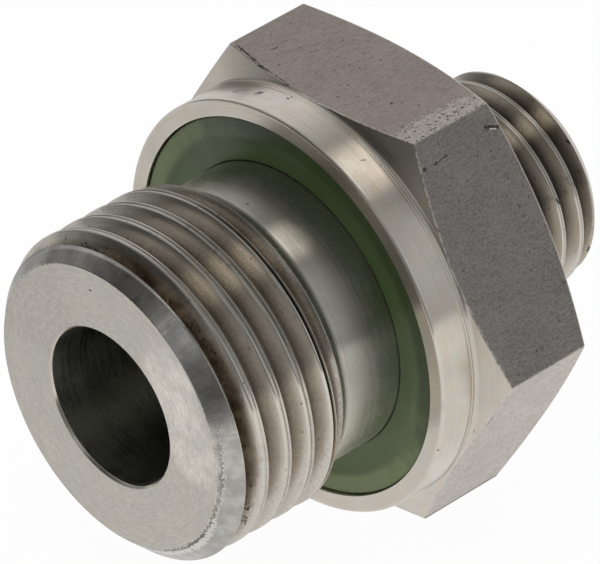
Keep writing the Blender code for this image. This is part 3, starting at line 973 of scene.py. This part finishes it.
def shadeByArea(mesh):
    # Smooth shading whose normal at a point is the sum of its faces' normals times their areas, so that flat
    # stretches stay flat
    count = len(mesh.polygons)
    normals, areas, sizes = np.zeros(count * 3), np.zeros(count), np.zeros(count, np.int32)
    mesh.polygons.foreach_get("normal", normals)
    mesh.polygons.foreach_get("area", areas)
    mesh.polygons.foreach_get("loop_total", sizes)
    corners = np.zeros(len(mesh.loops), np.int32)
    mesh.loops.foreach_get("vertex_index", corners)
    weighted = np.repeat(normals.reshape(-1, 3) * areas[:, None], sizes, axis=0)
    total = np.zeros((len(mesh.vertices), 3))
    np.add.at(total, corners, weighted)
    total /= np.maximum(np.linalg.norm(total, axis=1), 1e-20)[:, None]
    mesh.shade_smooth()
    mesh.normals_split_custom_set_from_vertices(total.tolist())


mergeDistance = 0.0008 * mm
bodyZones = ["turned", "face", "thread", "neck", "flat", "bore", "chamfer", "tubeThread"]

angles = sectionAngles(bodySizes["columnStep"], bodySizes["cornerExtras"])
steels = [  # in the order of the zones
    turnedSteel("turnedSteel", collarLook),
    faceSteel(),
    threadSteel("studThreadSteel", studThread, studThreadLook),
    turnedSteel("neckSteel", neckLook),
    flatSteel(),
    turnedSteel("boreSteel", boreLook),
    chamferSteel(),
    threadSteel("tubeThreadSteel", tubeThread, tubeThreadLook),
]
radius, station, wear, zone = bodySection(angles)
body = turnedPiece("couplingBody", radius, station, angles, wear, zone, steels)
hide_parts("coupling_body")
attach(body, "root")


sealSizes = dict(
    columns=180, neckGap=0.03, outerGap=0.06, backGap=0.06, recess=0.2, band=1.2, lipDrop=0.3, slope=0.6,
    slopeDrop=0.7, backEdge=0.15, lipEdge=0.08, slopeEdge=0.3, bandEdge=0.35, rimEdge=0.14,
)


def sealSection(angles):
    # The ring's section: a flat outer band, then an inner band that falls in a curve to the neck
    sizes = sealSizes
    inner = studThread["crest"] - studThread["depth"] - bodySizes["neckBelowRoot"]
    outer = inner + bodySizes["grooveWidth"] - sizes["outerGap"]
    inner += sizes["neckGap"]
    back = bodySizes["studLength"] + bodySizes["grooveDepth"] - sizes["backGap"]
    front = bodySizes["studLength"] + sizes["recess"]
    slopeStation = front + sizes["lipDrop"] * sizes["slopeDrop"]
    run = cornerRun([
        ((inner + outer) / 2, back, 0, ""),
        (inner, back, sizes["backEdge"], ""),
        (inner, front + sizes["lipDrop"], sizes["lipEdge"], ""),
        (outer - sizes["band"] - sizes["slope"], slopeStation, sizes["slopeEdge"], ""),
        (outer - sizes["band"], front, sizes["bandEdge"], ""),
        (outer, front, sizes["rimEdge"], ""),
        (outer, back, sizes["backEdge"], ""),
        ((inner + outer) / 2, back, 0, ""),
    ], len(angles))
    return run["radius"], run["station"], run["wear"]


angles = np.radians(np.linspace(0, 360, sealSizes["columns"] + 1))
radius, station, wear = sealSection(angles)
seal = turnedPiece("sealRing", radius, station, angles, wear, np.zeros(radius.shape, int), [sealRubber()])
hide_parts("sealing_ring")
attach(seal, "root")


# Camera, floor and light

view = dict(  # millimetres and degrees
    azimuth=48.033, elevation=34.883, roll=-2.415, distance=434.4, aim=(-1.168, -0.538, 13.576),
    lens=438.6, sensor=36, nearest=10, furthest=20000,
)


def aimCamera():
    # Stands back from the aimed point along the direction that azimuth and elevation give, then rolls
    azimuth, elevation, roll = (math.radians(view[key]) for key in ("azimuth", "elevation", "roll"))
    level = math.cos(elevation)
    back = Vector((math.sin(azimuth) * level, -math.cos(azimuth) * level, math.sin(elevation)))
    side = Vector((math.cos(azimuth), math.sin(azimuth), 0))
    lift = back.cross(side)
    right = side * math.cos(roll) + lift * math.sin(roll)
    up = lift * math.cos(roll) - side * math.sin(roll)
    camera = bpy.data.objects.new("photoCamera", bpy.data.cameras.new("photoCamera"))
    camera.data.lens = view["lens"]
    camera.data.sensor_width = view["sensor"]
    camera.data.clip_start = view["nearest"] * mm
    camera.data.clip_end = view["furthest"] * mm
    stand = (Vector(view["aim"]) + back * view["distance"]) * mm
    camera.matrix_world = Matrix.Translation(stand) @ Matrix((right, up, back)).transposed().to_4x4()
    bpy.context.scene.collection.objects.link(camera)
    bpy.context.scene.camera = camera


aimCamera()

floorLook = dict(  # distances in millimetres along the bore, and across it from left to right
    radius=350, columns=96, tone=0.85, rough=0.9, glow=0.88, cameraGlow=0.97,
    frontStart=-80, frontEnd=-96, frontGlow=0.2, nearGlow=0.9, backStart=-30, backEnd=40, backGlow=0.98,
    left=-90, right=60, leftGlow=0.86, rightGlow=1.12,
)


def makeFloor():
    # A flat disc under the part
    look = floorLook
    turn = np.linspace(0, 2 * np.pi, look["columns"], endpoint=False)
    rim = np.stack([np.cos(turn), np.sin(turn), np.zeros_like(turn)], axis=1) * look["radius"] * mm
    mesh = bpy.data.meshes.new("floor")
    mesh.from_pydata(rim, [], [list(range(len(rim)))])
    material, tree, shader = newMaterial("paleFloor")
    tone = look["tone"]
    shader.inputs["Base Color"].default_value = (tone, tone, tone, 1)
    shader.inputs["Roughness"].default_value = look["rough"]
    # The camera, metal and glass see the floor glow, and the rest of the diffuse floor keeps the shadow
    path = put(tree, "ShaderNodeLightPath").outputs
    kinds = ("Camera", "Glossy", "Transmission")
    seen = joined(tree, "MAXIMUM", [path["Is %s Ray" % kind] for kind in kinds])
    place = put(tree, "ShaderNodeTexCoord").outputs["Object"]
    across, ahead, _ = put(tree, "ShaderNodeSeparateXYZ", {0: place}).outputs
    front, back, sides = ([look[key] * mm for key in keys] for keys in (
        ("frontEnd", "frontStart"), ("backStart", "backEnd"), ("left", "right")))
    mirrored = ramp(tree, ahead, *front, look["frontGlow"], look["nearGlow"])
    further = ramp(tree, ahead, *back, 1.0, look["backGlow"] / look["nearGlow"])
    aside = ramp(tree, across, *sides, look["leftGlow"], look["rightGlow"])
    strength = mixed(tree, path["Is Camera Ray"], times(tree, mirrored, further, aside), (1, 1, 1, 1))
    glow = put(tree, "ShaderNodeEmission", {"Color": (1, 1, 1, 1), "Strength": strength}).outputs[0]
    factor = times(tree, seen, ramp(tree, path["Is Camera Ray"], 0.0, 1.0, look["glow"], look["cameraGlow"]))
    both = put(tree, "ShaderNodeMixShader", {0: factor, 1: shader.outputs[0], 2: glow}).outputs[0]
    tree.links.new(both, tree.nodes["Material Output"].inputs["Surface"])
    mesh.materials.append(material)
    floor = bpy.data.objects.new("floor", mesh)
    bpy.context.scene.collection.objects.link(floor)


makeFloor()

# The studio: directions as azimuth (0 toward the stud's end, 90 to the right) and elevation, sizes as angles
studio = dict(
    room=(0.28, 0.28, 0.275, 1), ground=(0.95, 0.95, 0.95, 1), horizon=(-0.1, 0.0),
    screens=[  # azimuth, elevation, half width, half height, softness, colour
        (170, 60, 14, 8, 0.35, (1.4, 1.31, 1.2, 1)),
        (180, 55, 70, 32, 0.6, (0.13, 0.13, 0.13, 1)),
        (-130, 12, 24, 38, 0.4, (0.6, 0.6, 0.62, 1)),
        (-72, 38, 20, 18, 0.5, (0.2, 0.2, 0.2, 1)),
        (115, 20, 32, 27, 0.5, (0.28, 0.29, 0.31, 1)),
        (8, 26, 12, 14, 0.5, (0.3, 0.31, 0.34, 1)),
    ],
    cards=[  # azimuth, elevation, half width, half height, softness, share of light left
        (-28, 18, 27, 32, 0.4, 0.25),
        (42, 12, 17, 22, 0.4, 0.5),
    ],
)


def screenMask(tree, direction, azimuth, elevation, halfWidth, halfHeight, softness):
    # 1 inside an ellipse round a direction, fading out at its rim
    turned = put(tree, "ShaderNodeMapping", {
        "Vector": direction,
        "Rotation": (math.radians(elevation), 0, math.radians(azimuth + 180)),
        "Scale": (math.sin(math.radians(halfWidth)), 1, math.sin(math.radians(halfHeight))),
    }, vector_type="TEXTURE").outputs[0]
    across, ahead, up = put(tree, "ShaderNodeSeparateXYZ", {0: turned}).outputs
    away = sums(tree, "SQRT", sums(tree, "ADD", times(tree, across, across), times(tree, up, up)))
    return times(tree, ramp(tree, away, 1 + softness, 1 - softness), sums(tree, "GREATER_THAN", ahead, 0.0))


def makeStudio():
    world = bpy.data.worlds.new("studio")
    world.use_nodes = True
    tree = world.node_tree
    direction = put(tree, "ShaderNodeTexCoord").outputs["Generated"]
    _, _, height = put(tree, "ShaderNodeSeparateXYZ", {0: direction}).outputs
    light = studio["room"]
    for *place, colour in studio["screens"]:
        light = mixed(tree, screenMask(tree, direction, *place), light, colour, "ADD")
    light = mixed(tree, ramp(tree, height, *studio["horizon"]), studio["ground"], light)
    for *place, left in studio["cards"]:
        light = mixed(tree, screenMask(tree, direction, *place), light, (left, left, left, 1), "MULTIPLY")
    tree.links.new(light, tree.nodes["Background"].inputs["Color"])
    bpy.context.scene.world = world


overheadLamp = dict(power=1.1, size=500, azimuth=-20, elevation=75, distance=600)  # for floor and rubber


def addLamp(name, power, size, azimuth, elevation, distance):
    # A square soft lamp that faces the object and shows in no reflection
    lamp = bpy.data.lights.new(name, "AREA")
    lamp.energy = power
    lamp.size = size * mm
    holder = bpy.data.objects.new(name, lamp)
    turn, lift = math.radians(azimuth), math.radians(elevation)
    away = Vector((math.sin(turn) * math.cos(lift), -math.cos(turn) * math.cos(lift), math.sin(lift)))
    facing = away.to_track_quat("Z", "Y").to_matrix().to_4x4()
    holder.matrix_world = Matrix.Translation(away * distance * mm) @ facing
    holder.visible_glossy = False
    holder.visible_camera = False
    bpy.context.scene.collection.objects.link(holder)


makeStudio()
addLamp("overheadLamp", **overheadLamp)
bpy.context.scene.view_settings.view_transform = "Standard"
print("camera, floor, studio and lamp are in place")
